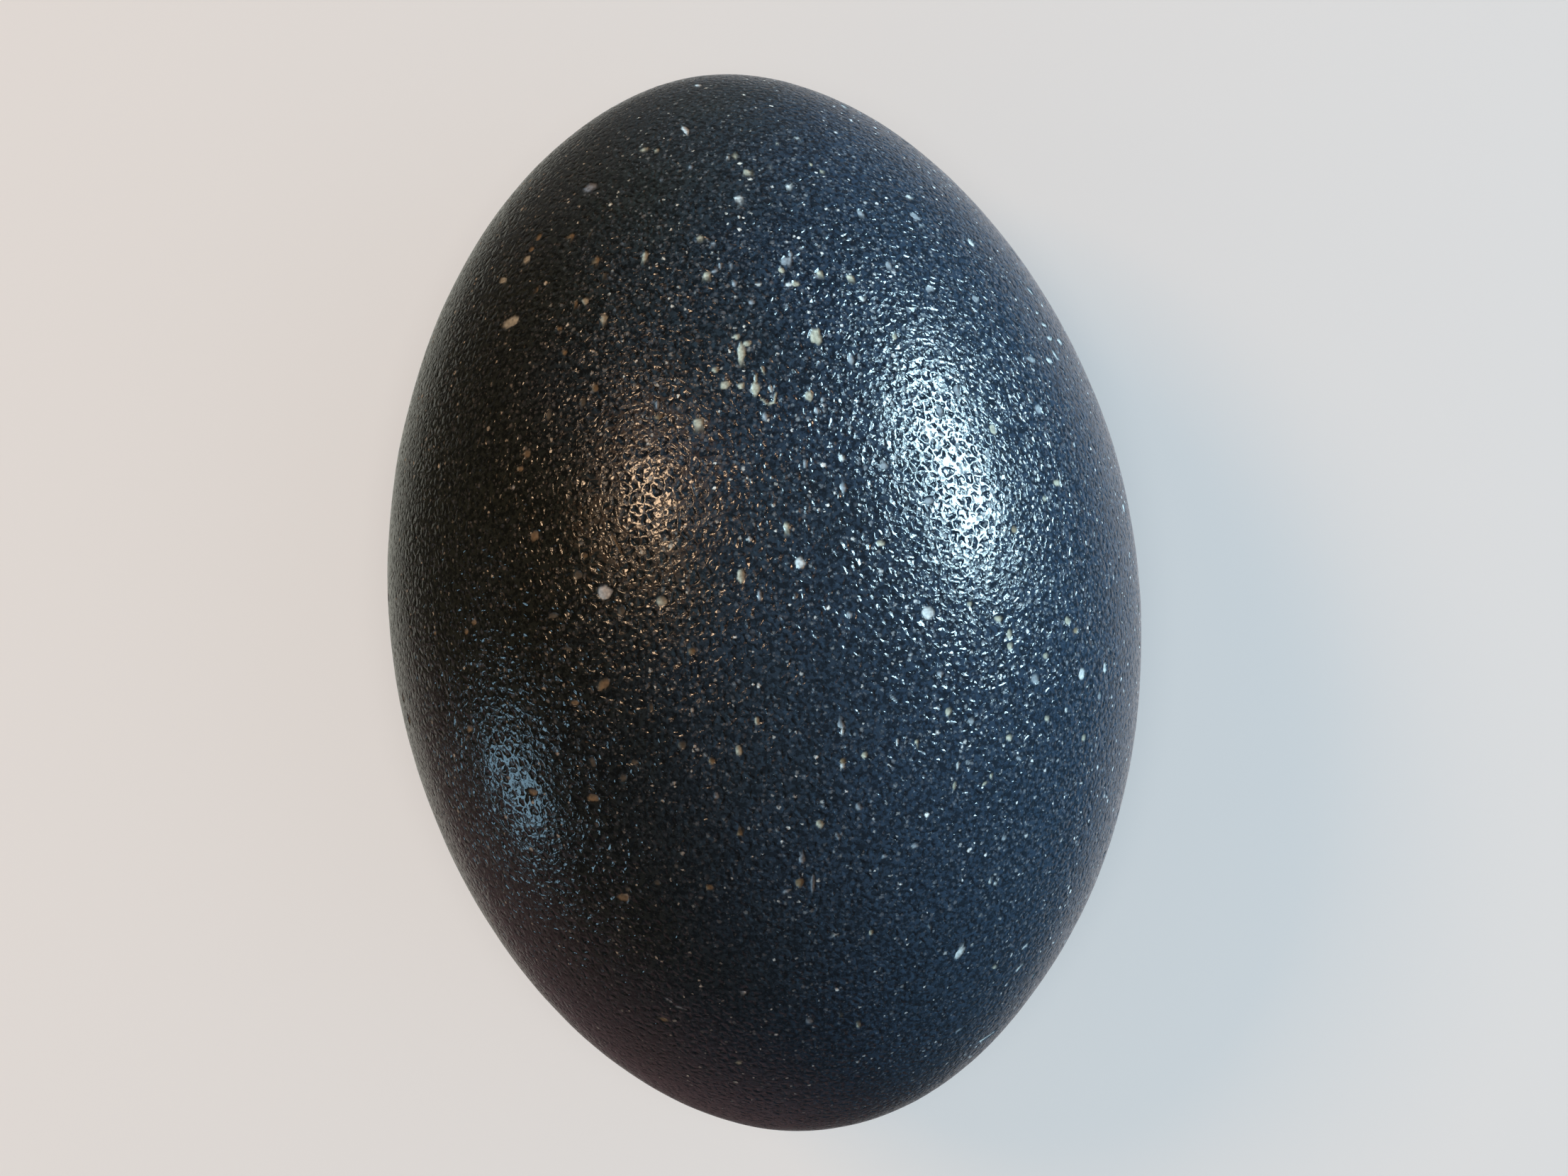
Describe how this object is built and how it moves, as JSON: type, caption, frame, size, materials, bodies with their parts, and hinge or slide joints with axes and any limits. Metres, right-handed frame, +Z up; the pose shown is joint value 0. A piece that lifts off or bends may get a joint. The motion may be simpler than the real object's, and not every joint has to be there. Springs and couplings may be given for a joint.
{
  "type": "emu egg",
  "caption": "Whole dark, granulated bird egg, as long and rounded at both ends, lying on its side on a small flat spot.",
  "frame": {"origin": "on the surface that the egg lies on, straight under the middle of the egg, on its resting flat", "axes": "+Z up; +Y along the egg's long axis towards its slightly slimmer end; +X across its girth"},
  "size_m": [0.092, 0.13, 0.0916],
  "materials": {
    "eggshell": "satin"
  },
  "bodies": {
    "root": {"egg": "eggshell"}
  },
  "joints": []
}
